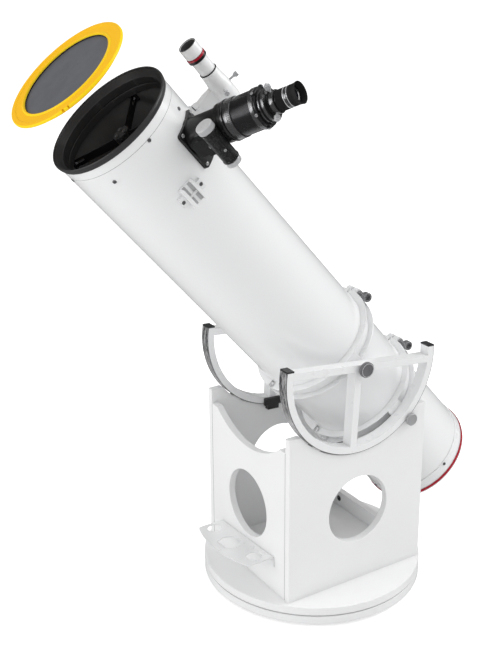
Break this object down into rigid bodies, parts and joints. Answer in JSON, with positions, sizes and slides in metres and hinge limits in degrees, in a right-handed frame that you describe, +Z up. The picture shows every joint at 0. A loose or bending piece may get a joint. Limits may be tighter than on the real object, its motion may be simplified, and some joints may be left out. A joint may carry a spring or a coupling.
{
  "type": "dobsonian telescope",
  "caption": "Newtonian telescope with rack focuser, finder and solar filter in hinged tube rings on half-round altitude bearings, carried by a rocker box that turns on a round base.",
  "frame": {"origin": "on the floor plane, on the azimuth axis at the centre of the base", "axes": "+Z up along the azimuth axis, -Y the way the tube points over the floor at rest, +X along the altitude axis to the focuser side"},
  "size_m": [0.5281, 0.9997, 1.2139],
  "materials": {
    "white_board": "white satin lacquer",
    "white_tube": "white gloss enamel",
    "white_cast": "white gloss enamel on castings",
    "black_cast": "black semi-gloss on castings",
    "black_plastic": "satin black moulded",
    "black_bearing": "smooth black",
    "glide": "white glide plastic",
    "rubber": "matte black",
    "steel": "bright zinc or stainless",
    "chrome": "polished",
    "alu_knob": "turned, clear anodised",
    "grey_knob": "grey anodised",
    "strip": "bright running strip",
    "red": "red gloss",
    "yellow": "yellow satin powder coat",
    "film": "grey silvery film",
    "mirror": "first surface mirror",
    "lens": "coated lens"
  },
  "bodies": {
    "ground": {"ground_board": "white_board", "feet": "rubber", "azimuth_pads": "glide", "pivot_bolt": "steel", "pivot_nut": "steel"},
    "rocker": {"turntable_board": "white_board", "pivot_bushing": "black_bearing", "side_panel_left": "white_board", "side_panel_right": "white_board", "front_panel": "white_board", "rear_stretcher": "white_board", "cam_locks": "black_plastic", "box_screws": "steel", "altitude_pads": "glide", "eyepiece_tray": "white_cast"},
    "tension_knob": {"tension_knob": "grey_knob"},
    "tube": {"main_tube": "white_tube", "front_ring": "black_cast", "rear_ring": "white_cast", "red_ring": "red", "mirror_cell": "black_cast", "collimation_knobs": "black_plastic", "collimation_springs": "steel", "mirror_clips": "black_plastic", "primary_mirror": "mirror", "spider": "black_cast", "secondary_holder": "black_plastic", "secondary_mirror": "mirror", "ring_upper_left": "white_cast", "ring_upper_right": "white_cast", "ring_lower_left": "white_cast", "ring_lower_right": "white_cast", "ring_hinge_pins": "chrome", "bearing_frame_left": "white_cast", "bearing_frame_right": "white_cast", "bearing_strips": "strip", "end_caps": "black_plastic", "guide_blocks": "black_plastic", "focuser_body": "black_cast", "finder_shoe": "white_cast", "finder_bracket": "white_cast", "finder_thumb_screws": "alu_knob", "finder_tube": "white_tube", "finder_trim_ring": "red", "finder_objective": "lens", "finder_eyepiece": "black_plastic", "accessory_shoe": "white_cast", "tube_screws": "steel"},
    "ring_clamp_knob_upper": {"ring_clamp_knob_upper": "alu_knob"},
    "ring_clamp_knob_lower": {"ring_clamp_knob_lower": "alu_knob"},
    "centre_knob_left": {"centre_knob_left": "grey_knob"},
    "centre_knob_right": {"centre_knob_right": "grey_knob"},
    "drawtube": {"drawtube": "black_cast", "eyepiece_adapter": "black_cast", "adapter_thumb_screws": "alu_knob"},
    "focus_knobs": {"focus_knobs": "alu_knob"},
    "eyepiece": {"eyepiece": "black_cast", "eyecup": "rubber"},
    "filter": {"filter_frame": "yellow", "filter_film": "film"}
  },
  "joints": [
    {"name": "azimuth", "type": "hinge", "parent": "ground", "child": "rocker", "pos_m": [0, 0, 0.03], "axis": [0, 0, 1], "continuous": true},
    {"name": "altitude", "type": "hinge", "parent": "rocker", "child": "tube", "pos_m": [0, 0.0055, 0.5323], "axis": [1, 0, 0], "range_deg": [-41.3, 48.6]},
    {"name": "tension_turn", "type": "hinge", "parent": "rocker", "child": "tension_knob", "pos_m": [0.1568, 0.13294, 0.38976], "axis": [1, 0, 0], "continuous": true},
    {"name": "clamp_upper_turn", "type": "hinge", "parent": "tube", "child": "ring_clamp_knob_upper", "pos_m": [0, 0.10372, 0.62883], "axis": [1, 0, 0], "continuous": true},
    {"name": "clamp_lower_turn", "type": "hinge", "parent": "tube", "child": "ring_clamp_knob_lower", "pos_m": [0, 0.22076, 0.49579], "axis": [1, 0, 0], "continuous": true},
    {"name": "centre_left_turn", "type": "hinge", "parent": "tube", "child": "centre_knob_left", "pos_m": [-0.17, 0.0055, 0.5323], "axis": [1, 0, 0], "continuous": true},
    {"name": "centre_right_turn", "type": "hinge", "parent": "tube", "child": "centre_knob_right", "pos_m": [0.17, 0.0055, 0.5323], "axis": [1, 0, 0], "continuous": true},
    {"name": "focus", "type": "slide", "parent": "tube", "child": "drawtube", "axis": [0.8039, 0.4466, 0.3929], "range_m": [-0.0005, 0.037]},
    {"name": "focus_knob_turn", "type": "hinge", "parent": "tube", "child": "focus_knobs", "pos_m": [0.1686, -0.3295, 1.02474], "axis": [0, 0.6605, -0.7508], "range_deg": [-8, 427]},
    {"name": "eyepiece_lift", "type": "slide", "parent": "drawtube", "child": "eyepiece", "axis": [0.8039, 0.4466, 0.3929], "range_m": [0, 0.04]},
    {"name": "filter_seat", "type": "slide", "parent": "tube", "child": "filter", "axis": [0, -0.6605, 0.7508], "range_m": [-0.1042, 0.05]}
  ],
  "couplings": [
    {"joint": "focus_knob_turn", "follows": "focus", "rad_per_m": 200}
  ]
}
